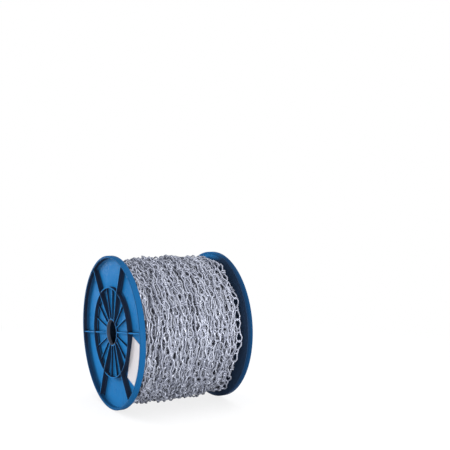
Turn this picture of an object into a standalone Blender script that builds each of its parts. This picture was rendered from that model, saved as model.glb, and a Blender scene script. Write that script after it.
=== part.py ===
"""A reel of steel chain: two moulded plastic flanges on a tube, wound full of knotted chain.

Metres, +Z up. The reel lies on its rims with its axle along X. The origin is on the floor,
under the middle of the reel. Radii of round pieces are measured at the middle of a facet.
"""
import math

import bmesh
import bpy
from mathutils import Matrix, Vector

MM = 0.001

# Reel
FLANGE_RADIUS = 100 * MM
REEL_WIDTH = 158.4 * MM
RIM_WIDTH = 7.6 * MM
RIM_WALL = 3.5 * MM
RIM_CHAMFER = 0.7 * MM
WEB_WALL = 1.6 * MM
WEB_FILLET = 2.4 * MM
BORE_RADIUS = 16 * MM
HUB_RADIUS = 18 * MM
HUB_SETBACK = 3 * MM
RING_RADIUS = 58.5 * MM
RING_WALL = 1.6 * MM
RING_SETBACK = 0.8 * MM
BARREL_RADIUS = 40 * MM
BARREL_WALL = 3.5 * MM
FLANGE_FACETS = 48
FILLET_STEPS = 2
SHARP_ANGLE = math.radians(35)

# Ribs of a flange: every third one runs on from the ring to the rim
RIB_COUNT = 18
LONG_RIB_EVERY = 3
RIB_TURN = math.radians(7.5)
LONG_RIB_WALL = 1.8 * MM
LONG_RIB_SETBACK = 0.5 * MM
SHORT_RIB_WALL = 1.2 * MM
SHORT_RIB_SETBACK = 3.0 * MM
RIB_ROOT = 0.6 * MM

# Wound chain. The links of a turn lean left and right by turns, so that on each side of a turn
# every second link has its strand on top, and the others have theirs below
CHAIN_RADIUS_MIDDLE = 97.0 * MM
CHAIN_RADIUS_ENDS = 90.5 * MM
CROWN_POWER = 3.0
TURNS = 21
LINKS_IN_A_TURN = 20
FACETS_IN_A_LINK = 2
STRAND_OFFSET = 1.7 * MM
LOW_STRAND_DEPTH = 5.0 * MM
TURN_GAP_DEPTH = 4.4 * MM
TURN_STAGGER = 3
OUTER_LAYER_BORE = 80 * MM

# Label on the web of the near flange
LABEL_LENGTH = 57 * MM
LABEL_WIDTH = 28 * MM
LABEL_THICKNESS = 0.4 * MM
LABEL_CORNER = 1.5 * MM
LABEL_CORNER_STEPS = 3
LABEL_INNER_EDGE = 59.6 * MM
LABEL_SLIDE = -5.2 * MM
LABEL_TURN = math.radians(-17.7)

CLEARANCE = 0.3 * MM

BLUE = (0.030, 0.165, 0.440, 1.0)
ZINC = (0.560, 0.560, 0.600, 1.0)
PAPER = (0.860, 0.840, 0.820, 1.0)


def material(name, colour, roughness, metallic):
    """A Principled material with one colour."""
    made = bpy.data.materials.new(name)
    made.use_nodes = True
    shader = made.node_tree.nodes["Principled BSDF"]
    shader.inputs["Base Color"].default_value = colour
    shader.inputs["Roughness"].default_value = roughness
    shader.inputs["Metallic"].default_value = metallic
    made.diffuse_color = colour
    return made


def add_object(name, mesh_data, look=None):
    """Turn finished bmesh data into a named object in the scene."""
    mesh = bpy.data.meshes.new(name)
    mesh_data.to_mesh(mesh)
    mesh_data.free()
    made = bpy.data.objects.new(name, mesh)
    bpy.context.collection.objects.link(made)
    if look:
        mesh.materials.append(look)
    return made


def shade_round(made):
    """Smooth the round faces and keep the corners sharp."""
    made.data.shade_smooth()
    made.data.set_sharp_from_angle(angle=SHARP_ANGLE)


def turned(profile, facets, wave=None):
    """A ring turned about the X axis from a closed profile of (x, radius) corners.

    wave(corner, facet) says how far a vertex lies below its corner's radius.
    """
    data = bmesh.new()
    step = 2 * math.pi / facets
    rings = []
    for corner, (x, radius) in enumerate(profile):
        ring = []
        for facet in range(facets):
            angle = (facet + 0.5) * step
            drop = wave(corner, facet) if wave else 0.0
            reach = (radius - drop) / math.cos(step / 2)
            ring.append(data.verts.new((x, reach * math.sin(angle), reach * math.cos(angle))))
        rings.append(ring)
    for corner, ring in enumerate(rings):
        following = rings[(corner + 1) % len(rings)]
        for facet in range(facets):
            beside = (facet + 1) % facets
            data.faces.new((ring[facet], ring[beside], following[beside], following[facet]))
    bmesh.ops.recalc_face_normals(data, faces=data.faces)
    return data


def flange_profile():
    """Section of a flange, with x measured inwards from the plane of its outer face."""
    web = RIM_WIDTH - WEB_WALL
    rim_inside = FLANGE_RADIUS - RIM_WALL
    angles = [step * math.pi / 2 / FILLET_STEPS for step in range(FILLET_STEPS + 1)]
    fillet = [(web - WEB_FILLET * (1 - math.cos(angle)),
               rim_inside - WEB_FILLET * (1 - math.sin(angle))) for angle in angles]
    return [
        (0, rim_inside),
        (0, FLANGE_RADIUS - RIM_CHAMFER),
        (RIM_CHAMFER, FLANGE_RADIUS),
        (RIM_WIDTH - RIM_CHAMFER, FLANGE_RADIUS),
        (RIM_WIDTH, FLANGE_RADIUS - RIM_CHAMFER),
        (RIM_WIDTH, BORE_RADIUS),
        (HUB_SETBACK, BORE_RADIUS),
        (HUB_SETBACK, HUB_RADIUS),
        (web, HUB_RADIUS),
        (web, RING_RADIUS - RING_WALL / 2),
        (RING_SETBACK, RING_RADIUS - RING_WALL / 2),
        (RING_SETBACK, RING_RADIUS + RING_WALL / 2),
        (web, RING_RADIUS + RING_WALL / 2),
    ] + fillet


def rib_outline(is_long):
    """Side view of a rib as (x, radius) corners, rooted in the web, the hub and the ring or rim."""
    root = RIM_WIDTH - WEB_WALL + RIB_ROOT
    hub = (HUB_RADIUS + BORE_RADIUS) / 2
    if is_long:
        rim = FLANGE_RADIUS - RIM_WALL / 2
        return [(root, hub), (root, rim), (LONG_RIB_SETBACK, rim),
                (LONG_RIB_SETBACK, RING_RADIUS), (HUB_SETBACK + RIB_ROOT, hub)]
    return [(root, hub), (root, RING_RADIUS), (SHORT_RIB_SETBACK, RING_RADIUS),
            (HUB_SETBACK + RIB_ROOT, hub)]


def flange_ribs():
    """All the ribs of a flange, as plates that stand on its web."""
    data = bmesh.new()
    for number in range(RIB_COUNT):
        is_long = number % LONG_RIB_EVERY == 0
        wall = LONG_RIB_WALL if is_long else SHORT_RIB_WALL
        # at angle 0 a rib points to -Y, and it turns from there towards +Z
        angle = RIB_TURN + number * 2 * math.pi / RIB_COUNT
        corners = [data.verts.new((x, -radius, -wall / 2)) for x, radius in rib_outline(is_long)]
        side = data.faces.new(corners)
        grown = bmesh.ops.extrude_face_region(data, geom=[side])
        moved = [item for item in grown["geom"] if isinstance(item, bmesh.types.BMVert)]
        bmesh.ops.translate(data, verts=moved, vec=(0, 0, wall))
        turn = Matrix.Rotation(-angle, 3, "X")
        bmesh.ops.rotate(data, verts=corners + moved, cent=(0, 0, 0), matrix=turn)
    bmesh.ops.recalc_face_normals(data, faces=data.faces)
    return data


def make_flange(name, end, look):
    """A flange with its rim, web, ring, hub and ribs; end is -1 for the near one and 1 for the far one."""
    place = Matrix.Translation((end * REEL_WIDTH / 2, 0, FLANGE_RADIUS))
    if end > 0:
        place = place @ Matrix.Rotation(math.pi, 4, "Z")
    flange = add_object(name, turned(flange_profile(), FLANGE_FACETS), look)
    flange.matrix_world = place
    ribs = add_object(name + "_ribs", flange_ribs(), look)
    ribs.matrix_world = place
    ribs.hide_render = True
    ribs.display_type = "WIRE"
    union = flange.modifiers.new("ribs", "BOOLEAN")
    union.operation = "UNION"
    union.solver = "EXACT"
    union.object = ribs
    shade_round(flange)
    return flange


def make_core_tube(look):
    """The tube that the two flanges are fixed to and the chain is wound on."""
    reach = REEL_WIDTH / 2 - RIM_WIDTH - CLEARANCE
    profile = [(-reach, BARREL_RADIUS), (reach, BARREL_RADIUS),
               (reach, BARREL_RADIUS - BARREL_WALL), (-reach, BARREL_RADIUS - BARREL_WALL)]
    tube = add_object("core_tube", turned(profile, FLANGE_FACETS), look)
    tube.location.z = FLANGE_RADIUS
    shade_round(tube)
    return tube


def chain_radius(x):
    """Radius of the outside of the winding, which bulges in the middle of the reel."""
    reach = REEL_WIDTH / 2 - RIM_WIDTH
    fall = (abs(x) / reach) ** CROWN_POWER
    return CHAIN_RADIUS_MIDDLE - (CHAIN_RADIUS_MIDDLE - CHAIN_RADIUS_ENDS) * fall


def make_chain_outer_layer(look):
    """The outer layer of the winding: for each turn the strands of its links, high and low."""
    reach = REEL_WIDTH / 2 - RIM_WIDTH - CLEARANCE
    pitch = 2 * reach / TURNS
    profile = [(-reach, OUTER_LAYER_BORE)]
    strand_of_corner = [None]
    for turn in range(TURNS):
        middle = -reach + (turn + 0.5) * pitch
        valley = middle - pitch / 2
        profile.append((valley, chain_radius(valley) - TURN_GAP_DEPTH))
        strand_of_corner.append(None)
        for side in (0, 1):
            strand = middle + (2 * side - 1) * STRAND_OFFSET
            profile.append((strand, chain_radius(strand)))
            strand_of_corner.append((turn, side))
    profile.append((reach, chain_radius(reach) - TURN_GAP_DEPTH))
    profile.append((reach, OUTER_LAYER_BORE))
    strand_of_corner += [None, None]

    def strand_depth(corner, facet):
        if strand_of_corner[corner] is None:
            return 0.0
        turn, side = strand_of_corner[corner]
        link = (facet + TURN_STAGGER * turn) // FACETS_IN_A_LINK
        return LOW_STRAND_DEPTH if (link + side) % 2 else 0.0

    facets = FACETS_IN_A_LINK * LINKS_IN_A_TURN
    layer = add_object("chain_outer_layer", turned(profile, facets, strand_depth), look)
    layer.location.z = FLANGE_RADIUS
    return layer


def make_chain_core(look):
    """The hidden turns of chain, from the tube to the outer layer."""
    reach = REEL_WIDTH / 2 - RIM_WIDTH - CLEARANCE
    outside = OUTER_LAYER_BORE - CLEARANCE
    inside = BARREL_RADIUS + CLEARANCE
    profile = [(-reach, outside), (reach, outside), (reach, inside), (-reach, inside)]
    core = add_object("chain_core", turned(profile, FACETS_IN_A_LINK * LINKS_IN_A_TURN), look)
    core.location.z = FLANGE_RADIUS
    shade_round(core)
    return core


def make_label(look):
    """A paper label on the web of the near flange, with its long side along the ring."""
    data = bmesh.new()
    outline = []
    for across, along in ((1, 1), (-1, 1), (-1, -1), (1, -1)):
        centre = Vector((across * (LABEL_WIDTH / 2 - LABEL_CORNER),
                         along * (LABEL_LENGTH / 2 - LABEL_CORNER)))
        start = math.atan2(along, across) - math.pi / 4
        for step in range(LABEL_CORNER_STEPS + 1):
            angle = start + step * math.pi / 2 / LABEL_CORNER_STEPS
            outline.append(centre + LABEL_CORNER * Vector((math.cos(angle), math.sin(angle))))
    middle = LABEL_INNER_EDGE + LABEL_WIDTH / 2
    corners = [data.verts.new((0, -(middle + point.x), LABEL_SLIDE + point.y)) for point in outline]
    front = data.faces.new(corners)
    grown = bmesh.ops.extrude_face_region(data, geom=[front])
    moved = [item for item in grown["geom"] if isinstance(item, bmesh.types.BMVert)]
    bmesh.ops.translate(data, verts=moved, vec=(-LABEL_THICKNESS, 0, 0))
    lean = Matrix.Rotation(-LABEL_TURN, 3, "X")
    bmesh.ops.rotate(data, verts=data.verts, cent=(0, 0, 0), matrix=lean)
    bmesh.ops.recalc_face_normals(data, faces=data.faces)
    label = add_object("label", data, look)
    web = -REEL_WIDTH / 2 + RIM_WIDTH - WEB_WALL
    label.location = (web - CLEARANCE, 0, FLANGE_RADIUS)
    return label


def main():
    """Build the reel and everything on it."""
    for old in list(bpy.data.objects):
        bpy.data.objects.remove(old, do_unlink=True)
    plastic = material("flange_plastic", BLUE, 0.35, 0.0)
    steel = material("chain_steel", ZINC, 0.30, 1.0)
    paper = material("label_paper", PAPER, 0.60, 0.0)
    make_flange("near_flange", -1, plastic)
    make_flange("far_flange", 1, plastic)
    make_core_tube(plastic)
    make_chain_core(steel)
    make_chain_outer_layer(steel)
    make_label(paper)


main()
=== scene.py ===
"""A reel of knotted steel chain, dressed around its packed frame.

Laid out as a Blender add-on and run as a script. Metres, +Z up: the reel lies on its rims with
its axle along X, and its near flange, the one with the label, is at -X. Angles on the reel are
measured from the top of the reel, and grow towards -Y.
"""
import random
from collections import namedtuple
from functools import partial, reduce
from math import asin, atan2, copysign, cos, degrees, exp, hypot, pi, radians, sin

import bmesh
import bpy
from bpy.props import FloatProperty, FloatVectorProperty, IntProperty, PointerProperty
from bpy.types import NodeSocket, Operator, Panel, PropertyGroup
from mathutils import Matrix, Vector, noise


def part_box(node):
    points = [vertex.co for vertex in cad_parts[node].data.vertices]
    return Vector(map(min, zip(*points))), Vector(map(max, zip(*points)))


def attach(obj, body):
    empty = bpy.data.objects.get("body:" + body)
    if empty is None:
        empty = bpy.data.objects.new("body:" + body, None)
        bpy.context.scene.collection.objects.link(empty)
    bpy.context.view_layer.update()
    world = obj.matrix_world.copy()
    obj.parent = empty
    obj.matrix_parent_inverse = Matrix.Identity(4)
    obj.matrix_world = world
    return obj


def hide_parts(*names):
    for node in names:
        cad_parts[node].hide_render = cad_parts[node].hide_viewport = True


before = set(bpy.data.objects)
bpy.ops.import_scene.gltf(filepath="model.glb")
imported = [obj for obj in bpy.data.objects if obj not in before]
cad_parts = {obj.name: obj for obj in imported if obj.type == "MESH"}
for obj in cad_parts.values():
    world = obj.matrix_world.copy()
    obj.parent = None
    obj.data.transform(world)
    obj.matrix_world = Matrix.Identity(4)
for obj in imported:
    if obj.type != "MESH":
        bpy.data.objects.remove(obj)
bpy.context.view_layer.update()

bl_info = {
    "name": "Reel of steel chain",
    "version": (1, 0, 0),
    "blender": (4, 5, 0),
    "location": "3D View > Sidebar > Chain reel",
    "description": "Models a plastic reel wound full of knotted steel chain around its frame",
    "category": "Object",
}

MM = 0.001
NEAR_LOW, NEAR_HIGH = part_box("near_flange")
WINDING_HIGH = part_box("chain_outer_layer")[1]
TUBE_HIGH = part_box("core_tube")[1]
LABEL_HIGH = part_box("label")[1]
AXLE_HEIGHT = (NEAR_LOW.z + NEAR_HIGH.z) / 2
AXLE = Vector((0, 0, AXLE_HEIGHT))
HALF_WIDTH = -NEAR_LOW.x
NEAR_INSIDE = -NEAR_HIGH.x
SQUARE = 0.99  # a face is square to an axis when this much of its normal lies along it


# Sizes and colours that a user would change

def setting(kind, **fixed):
    """A maker of settings of one kind. Lengths are in metres, and colours are linear."""
    def make(name, description, default, **limits):
        return kind(name=name, description=description, default=default, **fixed, **limits)
    return make


length = setting(FloatProperty, min=0.0, unit="LENGTH", subtype="DISTANCE", precision=4)
share = setting(FloatProperty, min=0.0, max=1.0, subtype="FACTOR")
colour = setting(FloatVectorProperty, size=3, min=0.0, max=1.0, subtype="COLOR")
amount = setting(FloatProperty)
count = setting(IntProperty)


def angle(name, description, default):
    """An angle, given here in degrees."""
    return FloatProperty(name=name, description=description, default=radians(default),
                         unit="ROTATION", subtype="ANGLE")


class FlangeSizes(PropertyGroup):
    """Sizes of the two moulded flanges"""
    radius: length("Radius", "Outer radius of a flange", NEAR_HIGH.z - AXLE_HEIGHT)
    rim_width: length("Rim width", "Width of the rim along the axle", NEAR_HIGH.x - NEAR_LOW.x)
    rim_wall: length("Rim wall", "Thickness of the rim", 3.5 * MM)
    rim_rounding: length("Rim rounding", "Radius of the rim's rounded edges", 0.9 * MM)
    web_wall: length("Web wall", "Thickness of the recessed web", 1.6 * MM)
    web_fillet: length("Web fillet", "Fillet between the web and the rim", 2.4 * MM)
    ring_radius: length("Ring radius", "Radius of the ring wall on the web", 58.5 * MM)
    ring_wall: length("Ring wall", "Thickness of the ring wall", 1.6 * MM)
    ring_setback: length("Ring setback", "Depth of the ring's top below the rim's", 0.8 * MM)
    hub_radius: length("Hub radius", "Outer radius of the hub", 18 * MM)
    hub_setback: length("Hub setback", "Depth of the hub's top below the rim's", 3 * MM)
    bore_radius: length("Bore radius", "Radius of the axle bore", 16 * MM)
    small_fillet: length("Small fillet", "Fillet at the foot of the ring and the hub", 1.0 * MM)
    wall_rounding: length("Wall rounding", "Rounding of the tops of ring and hub", 0.4 * MM)
    facets: count("Facets", "Sides of the round shapes", 128, min=48, max=256)
    ribs: count("Ribs", "Ribs around the hub", 18, min=3, max=36)
    long_every: count("Long every", "One rib in this many runs to the rim", 3, min=1, max=6)
    rib_turn: angle("Rib turn", "Turn of the first rib from the horizontal", 7.5)
    long_rib_wall: length("Long rib wall", "Thickness of a long rib", 1.8 * MM)
    short_rib_wall: length("Short rib wall", "Thickness of a short rib", 1.2 * MM)
    long_rib_setback: length("Long rib setback", "Depth of a long rib's top", 0.5 * MM)
    short_rib_setback: length("Short rib setback", "Depth of a short rib's top", 3.0 * MM)
    rib_flare: length("Rib flare", "How far a rib's foot spreads on each side", 0.9 * MM)


class ChainSizes(PropertyGroup):
    """Sizes of a link, and how the chain lies on the reel"""
    wire: length("Wire", "Diameter of the wire", 2.1 * MM)
    pitch: length("Pitch", "Distance from link to link", 28 * MM)
    loop_height: length("Loop height", "Half the height of a loop, between wire centres", 3.8 * MM)
    waist: length("Waist", "The same at the knot, where the loops narrow", 1.6 * MM)
    end_length: length("End length", "Length of the rounded end of a loop", 5.6 * MM)
    radius_middle: length("Winding radius", "Outside of the winding in the middle of the reel",
                          WINDING_HIGH.z - AXLE_HEIGHT)
    radius_ends: length("End radius", "Outside of the winding at the flanges", 90.5 * MM)
    crown: amount("Crown", "How late the winding falls off towards a flange", 3.0,
                  min=1.0, max=8.0)
    turns: count("Turns", "Turns in the outer layer", 21, min=4, max=40)
    seat: length("Seat", "Depth of the outer layer's middle below the winding's outside", 3.7 * MM)
    layer_depth: length("Layer depth", "Depth from one layer of chain to the next", 4.3 * MM)
    sideways_wander: length("Sideways wander", "How far a turn strays along the axle", 1.1 * MM)
    lift_wander: length("Lift wander", "How far a turn strays outwards", 1.6 * MM)
    joint_scatter: length("Joint scatter", "How far a joint strays by itself", 3.3 * MM)
    roll_wander: angle("Roll wander", "Slow twist of the chain along its turns", 18)
    roll_scatter: angle("Roll scatter", "Twist of a link by itself", 38)


class LabelSizes(PropertyGroup):
    """Sizes of the paper label on the near flange"""
    long_side: length("Length", "Side of the label along the ring", 57 * MM)
    short_side: length("Width", "Side of the label across the web", 28 * MM)
    inner_edge: length("Inner edge", "Distance of the label from the axle", 59.6 * MM)
    slide: length("Slide", "How far the label lies off the middle of its long side", 5.2 * MM)
    turn: angle("Turn", "How far below the horizontal the label sits", 17.7)
    thickness: length("Thickness", "Thickness of the paper", 0.16 * MM)
    curl: length("Curl", "How far the loosest corner lifts", 0.5 * MM)


class Finishes(PropertyGroup):
    """Colours and gloss of the materials"""
    plastic: colour("Plastic", "Moulded plastic of the flanges", (0.011, 0.143, 0.362))
    plastic_deep: colour("Plastic, deep", "Thicker or shaded plastic", (0.008, 0.105, 0.290))
    # painted shade: the rims and the sides along the axle are darker than the flange faces
    plastic_side: colour("Plastic, sides", "Surfaces along the axle", (0.006, 0.064, 0.168))
    # painted shade and painted shadows: the walls and ribs in the recess, and the web beside them
    plastic_wall: colour("Plastic, walls", "Walls and shade in the recess", (0.011, 0.018, 0.036))
    plastic_shade: colour("Plastic, shade", "Far rim, where the winding shades it",
                          (0.004, 0.017, 0.046))
    # painted shade on the flanges' inner faces, against the winding
    plastic_inner: colour("Plastic, inner", "Faces against the winding", (0.014, 0.027, 0.054))
    # painted shade: a dark grey inside the axle bore
    plastic_bore: colour("Plastic, bore", "Inside of the axle bore", (0.055, 0.065, 0.09))
    plastic_gloss: share("Plastic roughness", "Roughness of the plastic", 0.32)
    zinc: colour("Zinc", "Bright zinc plating", (0.40, 0.42, 0.482))
    zinc_dull: colour("Zinc, dull", "Zinc in pits and along drawing marks", (0.26, 0.275, 0.333))
    zinc_gloss: share("Zinc roughness", "Roughness of the plating", 0.58)
    # painted shade: chain deep in the winding, darker than the zinc
    inner_turns: colour("Inner turns", "Chain deep in the winding", (0.20, 0.21, 0.26))
    paper: colour("Paper", "Label paper", (0.575, 0.552, 0.567))
    paper_rule: colour("Paper rules", "Faint lines of the blank label", (0.48, 0.33, 0.33))
    floor: colour("Floor", "Floor of the studio", (0.86, 0.86, 0.87))


class StageSettings(PropertyGroup):
    """Camera and lights"""
    camera_turn: angle("Camera azimuth", "Direction of the camera about the reel", -25.52)
    camera_lift: angle("Camera elevation", "Height of the camera above the horizon", 9.361)
    camera_distance: length("Camera distance", "From the middle of the reel", 1.0862)
    focal: amount("Focal length", "In pixels of the picture", 794.26, min=1.0)
    picture: count("Picture size", "Side of the picture in pixels", 450, min=1)
    reel_at_x: amount("Reel at, across", "Pixel of the reel's middle", 164.269)
    reel_at_y: amount("Reel at, down", "Pixel of the reel's middle", 327.532)
    front: amount("Front light", "Power of the front right light in watts", 6.0, min=0.0)
    low: amount("Low light", "Power of the light near the floor", 11.0, min=0.0)
    side: amount("Side light", "Power of the light on the flange faces", 69.0, min=0.0)
    top: amount("Top light", "Power of the overhead light", 22.0, min=0.0)
    ambient: amount("Ambient", "Strength of the sky on the object", 0.50, min=0.0)


SETTINGS = {
    "reel_flange": FlangeSizes,
    "reel_chain": ChainSizes,
    "reel_label": LabelSizes,
    "reel_finish": Finishes,
    "reel_stage": StageSettings,
}


# Modelling by hand, in code

def deselect_all():
    """Leave edit mode and select nothing."""
    if bpy.context.mode != "OBJECT":
        bpy.ops.object.mode_set(mode="OBJECT")
    bpy.ops.object.select_all(action="DESELECT")


def choose(made):
    """Select one object and nothing else."""
    deselect_all()
    made.select_set(True)
    bpy.context.view_layer.objects.active = made


def start_piece(add, **entries):
    """Add a primitive, put its place into its mesh and open it in edit mode."""
    deselect_all()
    add(**entries)
    made = bpy.context.object
    bpy.ops.object.transform_apply(location=True, rotation=True, scale=True)
    bpy.ops.object.mode_set(mode="EDIT")
    return made


def pick(kind, wanted):
    """In edit mode, select the faces, edges or vertices that pass a test, and nothing else."""
    bpy.ops.mesh.select_mode(type=kind)
    bpy.ops.mesh.select_all(action="DESELECT")
    data = bmesh.from_edit_mesh(bpy.context.edit_object.data)
    found = 0
    for item in {"FACE": data.faces, "EDGE": data.edges, "VERT": data.verts}[kind]:
        if wanted(item):
            item.select_set(True)
            found += 1
    data.select_flush_mode()
    bmesh.update_edit_mesh(bpy.context.edit_object.data)
    if not found:
        raise RuntimeError("nothing to select in " + bpy.context.edit_object.name)


def reach(point):
    """Distance of a point from the axle."""
    return hypot(point.y, point.z - AXLE_HEIGHT)


def near(value, target, slack=0.12 * MM):
    """Whether two lengths are the same, within a small slack."""
    return abs(value - target) < slack


def circle_at(x, radius):
    """Test for the edges that run round the axle at one place."""
    def wanted(edge):
        return all(near(v.co.x, x) and near(reach(v.co), radius) for v in edge.verts)
    return wanted


def extrude_by(x=0.0, y=0.0):
    """Extrude what is selected."""
    bpy.ops.mesh.extrude_region_move(TRANSFORM_OT_translate={"value": (x, y, 0)})


def bevel_by(width, steps, affect="EDGES"):
    """Round off what is selected."""
    bpy.ops.mesh.bevel(offset_type="OFFSET", offset=width, segments=steps, profile=0.5,
                       affect=affect)


def bridge_rims():
    """Join the two open rims of a turned body."""
    pick("EDGE", lambda edge: edge.is_boundary)
    bpy.ops.mesh.bridge_edge_loops()


def face_outwards():
    """Turn all faces outwards and leave edit mode."""
    bpy.ops.mesh.select_all(action="SELECT")
    bpy.ops.mesh.normals_make_consistent(inside=False)
    bpy.ops.object.mode_set(mode="OBJECT")


def finish_with(made, kind, **settings):
    """Give an object a modifier and apply it."""
    choose(made)
    modifier = made.modifiers.new(kind.lower(), kind)
    for name, value in settings.items():
        setattr(modifier, name, value)
    bpy.ops.object.modifier_apply(modifier=modifier.name)


def name_piece(made, name, look):
    """Give a finished piece its name and its material."""
    made.name = name
    made.data.name = name
    made.data.materials.clear()
    made.data.materials.append(look)


def smooth(made, sharpest):
    """Smooth shading, but for corners sharper than so many degrees."""
    choose(made)
    bpy.ops.object.shade_smooth_by_angle(angle=radians(sharpest))


# Materials

SHADE = 6.5 * MM  # width of the shade beside a wall in the recess
SHADE_START = 0.3 * MM  # width in which it sets in, before the wall
DEEP_SHADE = 0.6  # part of its width that is at its darkest
SHADE_WEIGHT = 0.92  # how far the painted recess shade replaces the web's colour there


class Shading:
    """The nodes of one tree. Numbers and outputs go in, and outputs come out."""

    def __init__(self, tree):
        self.tree = tree

    def put(self, entry, into):
        """Join an input to an output, or give it a value of its own."""
        if isinstance(entry, NodeSocket):
            self.tree.links.new(entry, into)
        elif into.type == "RGBA":
            into.default_value = (*entry, 1.0)
        else:
            into.default_value = entry

    def node(self, kind, *entries, **settings):
        """A new node with its settings, and its first inputs in their order."""
        made = self.tree.nodes.new("ShaderNode" + kind)
        for name, value in settings.items():
            setattr(made, name, value)
        for entry, into in zip(entries, made.inputs):
            self.put(entry, into)
        return made

    def fill(self, made, entries):
        """Fill inputs of a node by their names."""
        for name, entry in entries.items():
            self.put(entry, made.inputs[name])
        return made

    def math(self, operation, *entries, **settings):
        """The result of one operation on numbers."""
        return self.node("Math", *entries, operation=operation, **settings).outputs[0]

    def vector(self, operation, *entries):
        """The result of one operation on vectors."""
        made = self.node("VectorMath", *entries, operation=operation)
        return made.outputs["Value" if operation in ("LENGTH", "DOT_PRODUCT") else "Vector"]

    def product(self, *values):
        """All values multiplied."""
        return reduce(partial(self.math, "MULTIPLY"), values)

    def greatest(self, *values):
        """The greatest of the values."""
        return reduce(partial(self.math, "MAXIMUM"), values)

    def split(self, vector):
        """The three parts of a vector."""
        return self.node("SeparateXYZ", vector).outputs[:]

    def ramp(self, source, low, high, start=0.0, stop=1.0, **settings):
        """From low at start to high at stop, and no further beyond them."""
        return self.node("MapRange", source, start, stop, low, high, **settings).outputs[0]

    def mix(self, factor, low, high):
        """A mix of two colours."""
        made = self.node("Mix", data_type="RGBA")
        sockets = {socket.identifier: socket for socket in (*made.inputs, *made.outputs)}
        for name, entry in (("Factor_Float", factor), ("A_Color", low), ("B_Color", high)):
            self.put(entry, sockets[name])
        return sockets["Result_Color"]

    def grain(self, fine, broad, contrast):
        """The outputs of the grain group, on the piece's own coordinates."""
        return self.fill(self.node("Group", node_tree=grain_group()), {
            "Vector": self.node("TexCoord").outputs["Object"], "Fine Scale": fine,
            "Broad Scale": broad, "Contrast": contrast}).outputs

    def bump(self, grain, distance, strength):
        """A normal that follows the grain's height."""
        return self.fill(self.node("Bump"), {
            "Height": grain["Height"], "Distance": distance, "Strength": strength}).outputs[0]


def grain_group():
    """Node group: fine and broad unevenness of a surface, as colour factors and a height."""
    found = bpy.data.node_groups.get("surface_grain")
    if found:
        return found
    tree = bpy.data.node_groups.new("surface_grain", "ShaderNodeTree")
    face = tree.interface
    face.new_socket("Vector", in_out="INPUT", socket_type="NodeSocketVector")
    for name in ("Fine Scale", "Broad Scale", "Contrast"):
        face.new_socket(name, in_out="INPUT", socket_type="NodeSocketFloat")
    for name in ("Fine", "Broad", "Height"):
        face.new_socket(name, in_out="OUTPUT", socket_type="NodeSocketFloat")
    entry = tree.nodes.new("NodeGroupInput").outputs
    leave = tree.nodes.new("NodeGroupOutput").inputs
    graph = Shading(tree)
    for detail, scale, names in ((3.0, "Fine Scale", ("Fine", "Height")),
                                 (2.0, "Broad Scale", ("Broad",))):
        texture = graph.fill(graph.node("TexNoise"), {
            "Vector": entry["Vector"], "Scale": entry[scale], "Detail": detail})
        spread = graph.ramp(texture.outputs["Fac"], 0.0, 1.0, 0.3, 0.7)
        centred = graph.math("SUBTRACT", spread, 0.5)
        value = graph.math("MULTIPLY_ADD", centred, entry["Contrast"], 0.5, use_clamp=True)
        for name in names:
            graph.put(value, leave[name])
    return tree


def rib_shade(graph, x, off_axle, radius, rim_inside):
    """A mask of painted shadow on the web beside the ring wall and the long ribs, on the side that
    light misses.

    The far flange is the near one turned round, so its shade lies on the other side.
    """
    sizes = bpy.context.scene.reel_flange
    flip = graph.node("CombineXYZ", 0.0, graph.math("SIGN", x), 1.0).outputs[0]
    flipped = graph.vector("MULTIPLY", off_axle, flip)
    sideways = graph.split(flipped)[1]
    in_recess = graph.ramp(radius, 1.0, 0.0, rim_inside - 1 * MM, rim_inside)

    def shade(distance, where):
        """Dark from a wall to the end of its shade, by the distance from the wall."""
        return graph.product(graph.ramp(distance, 0.0, 1.0, -SHADE_START, 0.0),
                             graph.ramp(distance, 1.0, 0.0, DEEP_SHADE * SHADE, SHADE), where)

    def side_of_ring(way):
        """Where one side of the ring lies in shade: 1 for its outside, -1 for its inside."""
        return graph.ramp(sideways, 0.0, 1.0, way * 8 * MM, way * 40 * MM)

    inner_wall = sizes.ring_radius - sizes.ring_wall
    shades = [shade(graph.math("SUBTRACT", radius, sizes.ring_radius), side_of_ring(1)),
              shade(graph.math("SUBTRACT", inner_wall, radius), side_of_ring(-1))]
    for number in (1, 2):
        slope = number * 2 * pi * sizes.long_every / sizes.ribs - sizes.rib_turn
        across = graph.vector("DOT_PRODUCT", flipped, (0, sin(slope), cos(slope)))
        beside = graph.math("SUBTRACT", across, sizes.long_rib_wall / 2)
        shades.append(shade(beside, in_recess))
    return graph.product(graph.greatest(*shades), SHADE_WEIGHT)


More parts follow.
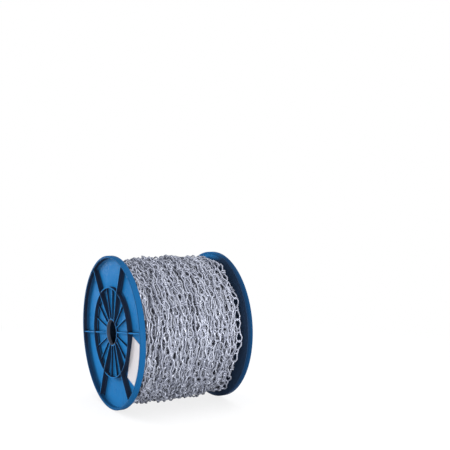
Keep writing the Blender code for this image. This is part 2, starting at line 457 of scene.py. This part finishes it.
def side_masks(graph):
    """Masks of painted shade for the flanges: sides and rims, shade in the recess, far rim,
    inner faces, bore.

    Little light reaches the walls and ribs in a recess, and the faces against the winding, so the
    masks paint them darker.
    """
    sizes = bpy.context.scene.reel_flange
    ramp, product = graph.ramp, graph.product
    rim_inside = sizes.radius - sizes.rim_wall
    winding_top = AXLE_HEIGHT + bpy.context.scene.reel_chain.radius_ends
    position = graph.node("TexCoord").outputs["Object"]
    x, y, z = graph.split(position)
    off_axle = graph.vector("MULTIPLY_ADD", position, (0, 1, 1), (0, 0, -AXLE_HEIGHT))
    radius = graph.vector("LENGTH", off_axle)
    along_axle = graph.split(graph.node("NewGeometry").outputs["Normal"])[0]
    steep = ramp(graph.math("ABSOLUTE", along_axle), 1.0, 0.0, 0.25, 0.97)
    outside = ramp(radius, 0.0, 1.0, rim_inside + 0.7 * MM, rim_inside + 1.7 * MM)
    in_recess = graph.math("SUBTRACT", 1.0, outside)
    on_rim = ramp(radius, 0.0, 0.85, rim_inside - 0.2 * MM, rim_inside + 0.3 * MM)

    # painted shadow of the rim on the web, mostly on one side, and painted light on its low inner
    # wall
    beside_rim = ramp(radius, 0.0, 0.7, rim_inside - 12.5 * MM, rim_inside,
                      interpolation_type="SMOOTHSTEP")
    painted_rim_shadow = product(beside_rim, in_recess, ramp(y, 0.1, 1.0, -15 * MM, 75 * MM))
    rim_wall = ramp(radius, 0.0, 0.8, rim_inside - 1.5 * MM, rim_inside - 0.5 * MM)
    lit_wall = product(rim_wall, ramp(z, 1.0, 0.0, 25 * MM, 75 * MM))
    # painted shade on the walls in the recess, taken back where the low rim wall is painted lit
    walls = graph.math("SUBTRACT", product(steep, in_recess), lit_wall)
    # painted shadows beside the ring and the long ribs
    beside_ribs = rib_shade(graph, x, off_axle, radius, rim_inside)
    painted_hollow_shade = graph.greatest(walls, painted_rim_shadow, beside_ribs)

    # painted shade: the winding keeps light from the inner faces, and from the far flange's rim;
    # only near the top does light reach over it, from behind
    height = graph.vector("DOT_PRODUCT", position, (0, 0.25, 1))
    below_top = ramp(height, 1.0, 0.0, winding_top - 7 * MM, winding_top + 8 * MM)
    within = ramp(graph.math("ABSOLUTE", x), 1.0, 0.0, NEAR_INSIDE + 0.2 * MM,
                  NEAR_INSIDE + 0.8 * MM)
    painted_shade_far_side = product(ramp(x, 0.0, 1.0, 0.0, 1 * MM),
                      ramp(x, 1.0, 0.6, NEAR_INSIDE + 1 * MM, HALF_WIDTH - 1 * MM))
    # the inside of the bore is painted dark as shade
    in_bore = ramp(radius, 1.0, 0.0, sizes.bore_radius + 0.4 * MM, sizes.bore_radius + 1.0 * MM)
    # masks of painted shade: sides and rims, recess, far rim, inner faces, bore
    return (graph.greatest(steep, on_rim), painted_hollow_shade, product(steep, outside, below_top, painted_shade_far_side),
            product(within, below_top), in_bore)


def plastic_look(graph, shader, finish):
    """Moulded blue plastic: soft gloss, slight flow marks, and painted shade on sides, rims,
    recess, far rim, inner faces and bore.
    """
    grain = graph.grain(fine=1400.0, broad=45.0, contrast=1.2)
    flow = graph.ramp(grain["Broad"], 0.72, 1.0)
    tone = graph.mix(flow, finish.plastic_deep, finish.plastic)
    # each mask lays one colour of painted shade over the plastic
    for mask, colour_there in zip(side_masks(graph), (
            finish.plastic_side, finish.plastic_wall, finish.plastic_shade,
            finish.plastic_inner, finish.plastic_bore)):
        tone = graph.mix(mask, tone, colour_there)
    gloss = graph.ramp(grain["Broad"], finish.plastic_gloss - 0.05, finish.plastic_gloss + 0.06)
    graph.fill(shader, {"Base Color": tone, "Roughness": gloss, "Specular IOR Level": 0.012,
                        "Normal": graph.bump(grain, distance=0.04 * MM, strength=0.35)})


def zinc_look(graph, shader, finish):
    """Bright zinc plating on drawn wire, a little different on each link, and painted lighter in
    the deeper layers as painted light.
    """
    grain = graph.grain(fine=1500.0, broad=220.0, contrast=1.1)
    # random tone of each link, raised in the deeper layers as painted light
    per_link = graph.node("Attribute", attribute_name="tone_and_painted_light").outputs["Fac"]
    brightness = graph.math("MULTIPLY_ADD", per_link, 0.90,
                            graph.ramp(grain["Broad"], -0.08, 0.20))
    tone = graph.mix(brightness, finish.zinc_dull, finish.zinc)
    gloss = graph.ramp(grain["Broad"], finish.zinc_gloss - 0.24, finish.zinc_gloss + 0.10,
                       0.35, 0.62)
    graph.fill(shader, {"Base Color": tone, "Roughness": gloss, "Metallic": 0.48,
                        "Normal": graph.bump(grain, distance=0.05 * MM, strength=0.3)})


def inner_look(graph, shader, finish):
    """Chain deep in the winding, painted darker than the zinc as shade, since little light reaches
    it.
    """
    grain = graph.grain(fine=420.0, broad=150.0, contrast=1.6)
    deep = [0.35 * value for value in finish.inner_turns]
    graph.fill(shader, {"Base Color": graph.mix(grain["Broad"], deep, finish.inner_turns),
                        "Roughness": graph.ramp(grain["Fine"], 0.38, 0.6), "Metallic": 1.0,
                        "Normal": graph.bump(grain, distance=1.2 * MM, strength=0.8)})


def paper_look(graph, shader, finish):
    """Matt label paper with fine fibres and a few faint blank rules."""
    grain = graph.grain(fine=1800.0, broad=90.0, contrast=1.0)
    thin = [0.93 * value for value in finish.paper]
    fibre = graph.mix(grain["Fine"], thin, finish.paper)
    across, along, _ = graph.split(graph.node("UVMap", uv_map="label").outputs["UV"])
    line = graph.ramp(graph.math("PINGPONG", across, 0.085), 1.0, 0.0, 0.004, 0.011)
    off_middle = graph.math("ABSOLUTE", graph.math("SUBTRACT", along, 0.5))
    inside = graph.ramp(off_middle, 1.0, 0.0, 0.36, 0.39)
    ruled = graph.mix(graph.product(line, inside, 0.45), fibre, finish.paper_rule)
    graph.fill(shader, {"Base Color": ruled, "Roughness": 0.62,
                        "Normal": graph.bump(grain, distance=0.03 * MM, strength=0.4)})


def floor_look(graph, shader, finish):
    """Pale studio floor that fades into the white behind it, and gives back only some light."""
    graph.fill(shader, {"Base Color": finish.floor, "Roughness": 0.9})
    far = graph.vector("LENGTH", graph.node("TexCoord").outputs["Object"])
    white = graph.node("Emission").outputs[0]
    seen = graph.node("MixShader", graph.ramp(far, 0.80, 1.0, 0.15, 0.7),
                      shader.outputs["BSDF"], white).outputs[0]
    felt = graph.node("BsdfDiffuse", [0.75 * value for value in finish.floor]).outputs[0]
    to_camera = graph.node("LightPath").outputs["Is Camera Ray"]
    both = graph.node("MixShader", to_camera, felt, seen).outputs[0]
    graph.fill(graph.tree.nodes["Material Output"], {"Surface": both})


MATERIALS = {
    "flange_plastic": plastic_look,
    "chain_steel": zinc_look,
    "inner_steel": inner_look,
    "label_paper": paper_look,
    "studio_floor": floor_look,
}


def get_material(name):
    """The material of that name, made on its first use."""
    made = bpy.data.materials.get("reel_" + name)
    if not made:
        made = bpy.data.materials.new("reel_" + name)
        made.use_nodes = True
        MATERIALS[name](Shading(made.node_tree), made.node_tree.nodes["Principled BSDF"],
                        bpy.context.scene.reel_finish)
    return made


# Flanges

def turn_flange(sizes):
    """The round shape of the near flange, from a short cylinder."""
    outer = -HALF_WIDTH
    inner = outer + sizes.rim_width
    web = inner - sizes.web_wall
    ring_top = outer + sizes.ring_setback
    hub_top = outer + sizes.hub_setback
    rim_inside = sizes.radius - sizes.rim_wall
    ring_out = sizes.ring_radius + sizes.ring_wall / 2
    ring_in = sizes.ring_radius - sizes.ring_wall / 2
    slack = 0.2 * MM
    flange = start_piece(
        bpy.ops.mesh.primitive_cylinder_add, vertices=sizes.facets, radius=sizes.radius,
        depth=sizes.rim_width, end_fill_type="NGON",
        location=((outer + inner) / 2, 0, AXLE_HEIGHT), rotation=(0, pi / 2, 0))

    def cap(way):
        """Test for the round end that faces one way along the axle."""
        return lambda face: way * face.normal.x > SQUARE and len(face.verts) == sizes.facets

    def web_band(low, high):
        """Test for the faces of the web between two radii."""
        def wanted(face):
            reaches = [reach(v.co) for v in face.verts]
            return (abs(face.normal.x) > SQUARE and len(reaches) == 4
                    and near(face.calc_center_median().x, web)
                    and low - slack < min(reaches) and max(reaches) < high + slack)
        return wanted

    radius = sizes.radius
    for inset_to in (rim_inside, ring_out, ring_in, sizes.hub_radius, sizes.bore_radius):
        pick("FACE", cap(-1))
        bpy.ops.mesh.inset(thickness=radius - inset_to, depth=0)
        if inset_to == rim_inside:
            extrude_by(x=web - outer)
        radius = inset_to
    for low, high, top in ((ring_in, ring_out, ring_top),
                           (sizes.bore_radius, sizes.hub_radius, hub_top)):
        pick("FACE", web_band(low, high))
        extrude_by(x=top - web)
    pick("FACE", cap(1))
    bpy.ops.mesh.inset(thickness=sizes.radius - sizes.bore_radius, depth=0)
    bpy.ops.mesh.delete(type="FACE")
    pick("FACE", cap(-1))
    bpy.ops.mesh.delete(type="FACE")
    bridge_rims()
    for rounding, steps, edges in (
            (sizes.rim_rounding, 3, ((outer, sizes.radius), (inner, sizes.radius),
                                     (outer, rim_inside))),
            (sizes.web_fillet, 5, ((web, rim_inside),)),
            (sizes.wall_rounding, 2, ((ring_top, ring_out), (ring_top, ring_in),
                                      (hub_top, sizes.hub_radius), (hub_top, sizes.bore_radius),
                                      (inner, sizes.bore_radius))),
            (sizes.small_fillet, 3, ((web, ring_out), (web, ring_in), (web, sizes.hub_radius)))):
        for x, radius in edges:
            pick("EDGE", circle_at(x, radius))
            bevel_by(rounding, steps)
    face_outwards()
    return flange


def make_rib(sizes, is_long):
    """One rib that points to -Y from the axle, with a rounded top and a flared foot."""
    outer = -HALF_WIDTH
    web = outer + sizes.rim_width - sizes.web_wall
    hub = (sizes.hub_radius + sizes.bore_radius) / 2
    if is_long:
        wall, setback = sizes.long_rib_wall, sizes.long_rib_setback
        near_end, far_end = sizes.ring_radius, sizes.radius - sizes.rim_wall / 2
    else:
        wall, setback = sizes.short_rib_wall, sizes.short_rib_setback
        near_end, far_end = hub, sizes.ring_radius
    foot = web - sizes.rib_flare
    top = outer + setback
    top_at_hub = max(top, outer + sizes.hub_setback + 0.4 * MM)
    rib = start_piece(
        bpy.ops.mesh.primitive_cube_add, size=1,
        location=((foot + top) / 2, -(near_end + far_end) / 2, AXLE_HEIGHT),
        scale=(foot - top, far_end - near_end, wall))
    if is_long:
        # it runs on within the ring, to the hub
        pick("FACE", lambda face: face.normal.y > SQUARE)
        extrude_by(y=near_end - hub)
    pick("VERT", lambda v: near(v.co.x, top) and near(v.co.y, -hub))
    bpy.ops.transform.translate(value=(top_at_hub - top, 0, 0))
    pick("FACE", lambda face: face.normal.x > SQUARE)
    middle = (web, -(hub + far_end) / 2, AXLE_HEIGHT)
    # the foot widens in three steps, which are parts of the flare, and ends within the web
    for rise, spread in ((0.55, 0.22), (0.35, 0.55), (0.35, 0.7)):
        extrude_by(x=rise * sizes.rib_flare)
        grown = (wall + 2 * spread * sizes.rib_flare) / wall
        bpy.ops.transform.resize(value=(1, 1, grown), center_override=middle)
        wall *= grown

    def top_edge(edge):
        """Test for the edges along the top."""
        one, two = (v.co for v in edge.verts)
        return (max(one.x, two.x) < foot - 0.5 * MM and abs(one.y - two.y) > MM
                and near(one.z, two.z, 0.01 * MM))
    pick("EDGE", top_edge)
    bevel_by(0.32 * MM, 2)
    face_outwards()
    return rib


def copy_of(made, placing):
    """A copy of an object with its own mesh, moved or turned by a matrix."""
    other = made.copy()
    other.data = made.data.copy()
    bpy.context.collection.objects.link(other)
    other.data.transform(placing)
    return other


def turn_about(axis, turn):
    """A turn about a line through the middle of the reel."""
    return Matrix.Translation(AXLE) @ Matrix.Rotation(turn, 4, axis) @ Matrix.Translation(-AXLE)


def join_all(pieces):
    """Join pieces into the first one."""
    choose(pieces[0])
    for piece in pieces:
        piece.select_set(True)
    bpy.ops.object.join()
    return pieces[0]


class REEL_OT_flanges(Operator):
    """Model the near flange with its ribs, and turn a copy of it round for the far end"""
    bl_idname = "chain_reel.flanges"
    bl_label = "Flanges"
    bl_options = {"REGISTER", "UNDO"}

    def execute(self, context):
        sizes = context.scene.reel_flange
        flange = turn_flange(sizes)
        masters = {is_long: make_rib(sizes, is_long) for is_long in (True, False)}
        copies = []
        for number in range(sizes.ribs):
            turn = sizes.rib_turn + number * 2 * pi / sizes.ribs
            master = masters[number % sizes.long_every == 0]
            copies.append(copy_of(master, turn_about("X", -turn)))
        ribs = join_all(copies)
        finish_with(flange, "BOOLEAN", operation="UNION", solver="EXACT", object=ribs)
        for spent in (*masters.values(), ribs):
            bpy.data.objects.remove(spent, do_unlink=True)
        look = get_material("flange_plastic")
        far = copy_of(flange, turn_about("Z", pi))
        for made, name, node in ((flange, "near_flange_moulding", "near_flange"),
                                 (far, "far_flange_moulding", "far_flange")):
            name_piece(made, name, look)
            smooth(made, 30)
            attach(made, "root")
            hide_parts(node)
        return {"FINISHED"}


class REEL_OT_core_tube(Operator):
    """Give the barrel between the flanges the finish of the mouldings"""
    bl_idname = "chain_reel.core_tube"
    bl_label = "Core tube"
    bl_options = {"REGISTER", "UNDO"}

    def execute(self, context):
        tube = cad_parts["core_tube"]
        look = get_material("flange_plastic")
        if not tube.material_slots:
            tube.data.materials.append(look)
        for slot in tube.material_slots:
            slot.material = look
        return {"FINISHED"}


# Chain

LINE_SEED = 11
LINK_SEED = 5
CLIMB = radians(38)  # turning on either side of a flange in which the chain changes layer
SINK = radians(50)  # turning in which the last turn sinks into the winding
STRAY_AROUND = 1.3  # how fast the straying changes around the reel
STRAY_ALONG = 17 * MM  # distance along the axle in which it changes
STRAY_BETWEEN = 40.0  # how far apart its pattern lies from one layer to the next
EDGE_ROOM = 2.5 * MM  # between a joint and a flange
TONE_SPREAD = 0.8  # how much the links differ in brightness
TURNED_OVER = 0.2  # share of the links that lie the other way up

Layer = namedtuple("Layer", "name depth start stop begin end")


def winding_radius(x, sizes):
    """Outside of the winding, which bulges in the middle of the reel."""
    far = min(1.0, abs(x) / WINDING_HIGH.x) ** sizes.crown
    return sizes.radius_middle - (sizes.radius_middle - sizes.radius_ends) * far


def smoothstep(value, low, high):
    """0 below low, 1 above high, and smooth between them."""
    t = min(1.0, max(0.0, (value - low) / (high - low)))
    return t * t * (3 - 2 * t)


def link_points(sizes):
    """Centreline of one link: two long loops from one wire, knotted in the middle.

    u runs along the chain, v across the loops, and w out of their plane.
    """
    high, waist = sizes.loop_height, sizes.waist
    half = (sizes.pitch + sizes.wire) / 2
    bend = half - sizes.end_length
    coil = [Vector(point) * sizes.wire for point in (
        (-0.35, -0.3, 1.0), (-0.8, -2.1, 0.35), (-1.15, -0.9, -1.0), (-0.9, 1.1, -0.2))]
    leave = Vector((3.0 * MM, waist + 0.15 * MM, 0.5 * sizes.wire))
    arc = [radians(angle_there) for angle_there in (90, 48, 0, -48, -90)]
    right = [Vector((bend + sizes.end_length * cos(a), high * sin(a), 0.0)) for a in arc]
    through = Vector((3.2 * MM, -waist, 0.0))
    one_half = coil + [leave] + right + [through]
    half_turn = Matrix.Diagonal((-1, 1, -1))
    return one_half + [half_turn @ point for point in reversed(one_half)]


def make_link(sizes, sides):
    """One link as a round wire along its centreline."""
    deselect_all()
    bpy.ops.curve.primitive_nurbs_path_add(location=(0, 0, 0))
    path = bpy.context.object
    curve = path.data
    curve.splines.clear()
    wire = curve.splines.new("POLY")
    points = link_points(sizes)
    wire.points.add(len(points) - 1)
    for place, point in zip(wire.points, points):
        place.co = (*point, 1.0)
    curve.dimensions = "3D"
    curve.twist_mode = "MINIMUM"
    curve.bevel_mode = "ROUND"
    curve.bevel_depth = sizes.wire / 2
    curve.bevel_resolution = (sides - 4) // 2
    curve.use_fill_caps = True
    choose(path)
    bpy.ops.object.convert(target="MESH")
    return bpy.context.object


def layers_of_chain(sizes):
    """The real layers of the winding, from the deepest.

    The chain is wound in one piece, to and fro between the flanges. A layer runs from start to
    stop along the axle, while the winding turns from begin to end.
    """
    far = WINDING_HIGH.x
    clear = 3.2 * MM
    layers = []
    begin = 0.0
    for name, turns, start, stop, depth in (
            ("deep", sizes.turns - 2, -far + clear, far - 15 * MM, 2 * sizes.layer_depth),
            ("below", sizes.turns - 1, far - 12 * MM, -far + clear, sizes.layer_depth),
            ("outer", sizes.turns, -far + clear, far - clear, 0.0)):
        end = begin + 2 * pi * turns
        layers.append(Layer(name, depth, start, stop, begin, end))
        begin = end
    return layers


def layer_at(wound, layers):
    """The layer that is wound at some turning."""
    return next((layer for layer in layers if wound < layer.end), layers[-1])


def parting(x, around):
    """How far a parting between two turns, on the side that faces the camera, moves a joint."""
    aside, width = 1.5 * MM, 8 * MM
    down = degrees(around)
    opened = smoothstep(down, 18, 40) * (1 - smoothstep(down, 88, 112))
    off_middle = x - max(14.5 * MM - 0.27 * MM * max(0.0, down - 42), 0.5 * MM)
    return copysign(aside * opened * exp(-(off_middle / width) ** 2), off_middle)


def joint_at(wound, layers, sizes, shift=0.0, lift=0.0):
    """A joint's place and its distance from the axle, at some turning of the winding."""
    layer = layer_at(wound, layers)
    far, whole = WINDING_HIGH.x, layers[-1].end
    around = wound % (2 * pi)
    x = layer.start + ((layer.stop - layer.start) * (wound - layer.begin)
                       / (layer.end - layer.begin))
    depth = layers[0].depth
    for before, after in zip(layers, layers[1:]):
        depth += (after.depth - before.depth) * smoothstep(
            wound, before.end - CLIMB, before.end + CLIMB)
    where = Vector((STRAY_AROUND * cos(around), STRAY_AROUND * sin(around),
                    x / STRAY_ALONG))
    where.z += STRAY_BETWEEN * depth / sizes.layer_depth
    drift = noise.noise(where)
    rise = noise.noise(where * 1.6 + Vector((7.1, 3.3, 9.7)))
    aside = parting(x, around) if layer.name == "outer" else 0.0
    x += 2.0 * sizes.sideways_wander * drift + shift + aside
    x = max(-far + EDGE_ROOM, min(far - EDGE_ROOM, x))
    # the last turn lies loose against the far flange
    loose = smoothstep(x, far - 11 * MM, far - 6 * MM) if layer.name == "outer" else 0.0
    radius = winding_radius(x, sizes) - sizes.seat - depth
    radius += 2.0 * sizes.lift_wander * rise + lift * (1 + 1.6 * loose)
    radius += loose * (2.4 * MM + 3.0 * MM * abs(rise))
    radius -= 5.5 * MM * smoothstep(wound, whole - SINK, whole)
    outwards = Vector((0, -sin(around), cos(around)))
    return AXLE + Vector((x, 0, 0)) + radius * outwards, radius


def chain_line(sizes):
    """Joints between links along the real layers, and the name of the layer of each link."""
    scatter = random.Random(LINE_SEED)
    layers = layers_of_chain(sizes)
    joints, names = [], []
    wound = 0.0
    place, radius = joint_at(wound, layers, sizes)
    while wound < layers[-1].end:
        joints.append(place)
        # a link belongs to the layer that it ends in
        names.append(layer_at(wound + 0.3, layers).name)
        shift = scatter.uniform(-1, 1) * sizes.joint_scatter
        lift = scatter.uniform(-0.5, 0.5) * sizes.joint_scatter
        step = 2 * asin(min(1.0, sizes.pitch / (2 * radius)))
        # a few rounds bring the next joint to one pitch from this one
        for _ in range(4):
            following, radius_there = joint_at(wound + step, layers, sizes, shift, lift)
            step += (sizes.pitch - (following - place).length) / radius
        wound += step
        place, radius = following, radius_there
    return joints, names


def lay_links(sizes, link, line, which, painted_layer_light):
    """Copies of a link along one layer of the winding, each with its own roll and tone; deeper
    layers get lighter tones as painted light.
    """
    scatter = random.Random(LINK_SEED)
    joints, names = line
    links = []
    for number, (start, stop, name) in enumerate(zip(joints, joints[1:], names)):
        roll_scatter = scatter.uniform(-1, 1) * sizes.roll_scatter
        tone = painted_layer_light - TONE_SPREAD * scatter.random()
        turned_over = scatter.random() < TURNED_OVER
        if name != which:
            continue
        along = (stop - start).normalized()
        middle = (start + stop) / 2
        out = middle - AXLE
        out.x = 0
        out = (out - out.dot(along) * along).normalized()
        side = along.cross(out)
        drift = noise.noise(middle * 22.0 + Vector((number * 0.01, 0, 5.0)))
        roll = radians(45) * (1 if number % 2 else -1) + roll_scatter
        roll += 2.0 * sizes.roll_wander * drift
        if which == "outer":
            # the loose last turn lies flatter
            loose = smoothstep(middle.x, WINDING_HIGH.x - 10 * MM, WINDING_HIGH.x - 6 * MM)
            roll += 0.8 * loose * (copysign(pi / 2, roll) - roll)
        if turned_over:
            roll += pi
        across = cos(roll) * out + sin(roll) * side
        outward = along.cross(across)
        # half of what a link takes up along the axle: it stays between the flanges
        taken = (0.5 * sizes.pitch * abs(along.x) + 2.7 * sizes.wire * abs(across.x)
                 + 1.5 * sizes.wire * abs(outward.x))
        room = WINDING_HIGH.x - taken
        middle.x = max(-room, min(room, middle.x))
        place = Matrix((along, across, outward)).transposed().to_4x4()
        place.translation = middle
        one = copy_of(link, place)
        shade = one.data.attributes.new("tone_and_painted_light", "FLOAT", "POINT")
        shade.data.foreach_set("value", [tone] * len(one.data.vertices))
        links.append(one)
    return join_all(links)


class REEL_OT_inner_turns(Operator):
    """Turn the hidden inner layers of chain as one ridged body under the real layers"""
    bl_idname = "chain_reel.inner_turns"
    bl_label = "Inner turns"
    bl_options = {"REGISTER", "UNDO"}

    def execute(self, context):
        sizes = context.scene.reel_chain
        far = WINDING_HIGH.x
        ridges = 36

        def surface(x, number):
            """Radius of the body, with every second ring lower."""
            depth = sizes.seat + 1.6 * sizes.layer_depth
            # the last turns beside the far flange lie lower
            depth += 7 * MM * smoothstep(x, far - 12 * MM, far - 5 * MM)
            return winding_radius(x, sizes) - depth - (1.6 * MM if number % 2 else 0.0)

        inside = TUBE_HIGH.z - AXLE_HEIGHT + 0.2 * MM
        places = [-far + 2 * far * number / ridges for number in range(ridges + 1)]
        rings = [(x, surface(x, number)) for number, x in enumerate(places)]
        rings += [(far, inside), (-far, inside)]
        at, radius = rings[0]
        body = start_piece(
            bpy.ops.mesh.primitive_circle_add, vertices=126, radius=radius,
            fill_type="NOTHING", location=(at, 0, AXLE_HEIGHT), rotation=(0, pi / 2, 0))
        bpy.ops.mesh.select_all(action="SELECT")
        for x, next_radius in rings[1:]:
            extrude_by(x=x - at)
            ratio = next_radius / radius
            bpy.ops.transform.resize(value=(1, ratio, ratio), center_override=(x, 0, AXLE_HEIGHT))
            at, radius = x, next_radius
        bridge_rims()
        face_outwards()
        name_piece(body, "chain_inner_turns", get_material("inner_steel"))
        smooth(body, 60)
        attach(body, "root")
        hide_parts("chain_core")
        return {"FINISHED"}


class REEL_OT_chain(Operator):
    """Wind the three layers of chain that show, from links of knotted wire"""
    bl_idname = "chain_reel.chain"
    bl_label = "Chain"
    bl_options = {"REGISTER", "UNDO"}

    def execute(self, context):
        sizes = context.scene.reel_chain
        look = get_material("chain_steel")
        line = chain_line(sizes)
        # painted light: the deeper layers, which the winding shades, get lighter tones than the
        # outer one
        for name, which, sides, painted_layer_light in (("chain_links_outer", "outer", 6, 0.45),
                                              ("chain_links_below", "below", 4, 1.5),
                                              ("chain_links_deep", "deep", 4, 2.0)):
            link = make_link(sizes, sides)
            layer = lay_links(sizes, link, line, which, painted_layer_light)
            bpy.data.objects.remove(link, do_unlink=True)
            name_piece(layer, name, look)
            smooth(layer, 100)
            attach(layer, "root")
            if which == "outer":
                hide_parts("chain_outer_layer")
        return {"FINISHED"}


# Label

class REEL_OT_label(Operator):
    """Cut the paper label and stick it on the near flange's web"""
    bl_idname = "chain_reel.label"
    bl_label = "Label"
    bl_options = {"REGISTER", "UNDO"}

    def execute(self, context):
        sizes = context.scene.reel_label
        label = start_piece(
            bpy.ops.mesh.primitive_grid_add, x_subdivisions=14, y_subdivisions=28, size=1,
            location=(0, 0, 0))
        bpy.ops.transform.resize(value=(sizes.short_side, sizes.long_side, 1),
                                 center_override=(0, 0, 0))
        corner = (sizes.short_side / 2, sizes.long_side / 2)
        pick("VERT", lambda v: near(abs(v.co.x), corner[0]) and near(abs(v.co.y), corner[1]))
        bevel_by(1.4 * MM, 3, affect="VERTICES")
        bpy.ops.object.mode_set(mode="OBJECT")
        label.data.uv_layers.active.name = "label"
        for vertex in label.data.vertices:
            along = vertex.co.y / sizes.long_side + 0.5
            across = vertex.co.x / sizes.short_side + 0.5
            lift = sizes.curl * smoothstep(along + across, 1.35, 2.0) ** 2
            lift += 0.05 * MM * (1 + noise.noise(Vector((across * 1.7, along * 3.1, 2.0))))
            vertex.co.z = lift
        finish_with(label, "SOLIDIFY", thickness=sizes.thickness, offset=1.0)
        # its face turns to -X, its long side lies along the ring
        stand = Matrix(((0, 0, -1), (-1, 0, 0), (0, 1, 0))).to_4x4()
        middle = sizes.inner_edge + sizes.short_side / 2
        place = Matrix.Translation((0, -middle, -sizes.slide))
        seat = (Matrix.Translation((LABEL_HIGH.x, 0, AXLE_HEIGHT))
                @ Matrix.Rotation(sizes.turn, 4, "X"))
        label.data.transform(seat @ place @ stand)
        name_piece(label, "paper_label", get_material("label_paper"))
        smooth(label, 40)
        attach(label, "root")
        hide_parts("label")
        return {"FINISHED"}


# Stage

def aim_camera(settings):
    """Place and turning of a level camera that puts the reel's middle on its pixel."""
    turn, lift = settings.camera_turn, settings.camera_lift
    back = Vector((sin(turn) * cos(lift), -cos(turn) * cos(lift),
                   sin(lift)))
    centre = settings.picture / 2
    ray = Vector(((settings.reel_at_x - centre) / settings.focal,
                  -(settings.reel_at_y - centre) / settings.focal, -1)).normalized()
    target = -back
    flat = hypot(ray.y, ray.z)
    pitch = asin(target.z / flat) - atan2(ray.y, -ray.z)
    forward = -ray.z * cos(pitch) - ray.y * sin(pitch)
    yaw = atan2(target.y, target.x) - atan2(-ray.x, forward)
    ahead = Vector((cos(yaw) * cos(pitch), sin(yaw) * cos(pitch),
                    sin(pitch)))
    right = Vector((sin(yaw), -cos(yaw), 0))
    up = right.cross(ahead)
    turned = Matrix((right, up, -ahead)).transposed()
    return AXLE + back * settings.camera_distance, turned


def add_area(name, place, size, power):
    """A soft rectangular light that points at the reel and that the camera doesn't see."""
    deselect_all()
    bpy.ops.object.light_add(type="AREA", location=place)
    lamp = bpy.context.object
    lamp.name = name
    lamp.rotation_euler = (AXLE - Vector(place)).to_track_quat("-Z", "Y").to_euler()
    lamp.data.shape = "RECTANGLE"
    lamp.data.size, lamp.data.size_y = size
    lamp.data.energy = power
    lamp.visible_camera = False
    return lamp


class REEL_OT_stage(Operator):
    """Set up the pale floor, the soft lights and the camera"""
    bl_idname = "chain_reel.stage"
    bl_label = "Stage"
    bl_options = {"REGISTER", "UNDO"}

    def execute(self, context):
        settings = context.scene.reel_stage
        place, turned = aim_camera(settings)
        deselect_all()
        bpy.ops.object.camera_add(location=place, rotation=turned.to_euler())
        camera = bpy.context.object
        camera.name = "camera"
        camera.data.sensor_width = 36.0
        camera.data.lens = settings.focal / settings.picture * camera.data.sensor_width
        camera.data.clip_start = 0.01
        context.scene.camera = camera

        bpy.ops.mesh.primitive_circle_add(vertices=96, radius=3.0, fill_type="NGON",
                                          location=(0, 0, 0))
        floor = bpy.context.object
        name_piece(floor, "studio_floor", get_material("studio_floor"))

        add_area("front_light", (-0.15, -1.40, 0.95), (1.8, 1.6), settings.front)
        add_area("low_light", (-0.05, -0.95, 0.10), (0.9, 0.18), settings.low)
        side = add_area("side_light", (-0.82, 1.82, 0.35), (0.8, 0.8), settings.side)
        side.visible_glossy = False
        add_area("top_light", (0.15, -0.1, 1.4), (1.6, 1.6), settings.top)

        world = context.scene.world or bpy.data.worlds.new("studio")
        context.scene.world = world
        world.use_nodes = True
        world.node_tree.nodes.clear()
        graph = Shading(world.node_tree)
        seen = graph.node("Background", (1, 1, 1), 1.0).outputs[0]
        felt = graph.node("Background", (0.93, 0.95, 1.0), settings.ambient).outputs[0]
        to_camera = graph.node("LightPath").outputs["Is Camera Ray"]
        graph.node("OutputWorld", graph.node("MixShader", to_camera, felt, seen).outputs[0])
        context.scene.view_settings.view_transform = "Standard"
        return {"FINISHED"}


OPERATORS = (REEL_OT_flanges, REEL_OT_core_tube, REEL_OT_inner_turns, REEL_OT_chain,
             REEL_OT_label, REEL_OT_stage)


class REEL_PT_panel(Panel):
    """The reel's pieces and sizes"""
    bl_idname = "REEL_PT_panel"
    bl_label = "Chain reel"
    bl_space_type = "VIEW_3D"
    bl_region_type = "UI"
    bl_category = "Chain reel"

    def draw(self, context):
        for operator in OPERATORS:
            self.layout.operator(operator.bl_idname)
        for name, group in SETTINGS.items():
            box = self.layout.box()
            box.label(text=group.__doc__)
            settings = getattr(context.scene, name)
            for entry in group.__annotations__:
                box.prop(settings, entry)


def register():
    """Register the settings, the operators and the panel."""
    for name, group in SETTINGS.items():
        bpy.utils.register_class(group)
        setattr(bpy.types.Scene, name, PointerProperty(type=group))
    for operator in OPERATORS:
        bpy.utils.register_class(operator)
    bpy.utils.register_class(REEL_PT_panel)


def unregister():
    """Undo register."""
    bpy.utils.unregister_class(REEL_PT_panel)
    for operator in reversed(OPERATORS):
        bpy.utils.unregister_class(operator)
    for name, group in reversed(list(SETTINGS.items())):
        delattr(bpy.types.Scene, name)
        bpy.utils.unregister_class(group)


def main():
    register()
    bpy.ops.chain_reel.stage()
    bpy.ops.chain_reel.flanges()
    bpy.ops.chain_reel.core_tube()
    bpy.ops.chain_reel.inner_turns()
    bpy.ops.chain_reel.chain()
    bpy.ops.chain_reel.label()


if __name__ == "__main__":
    main()
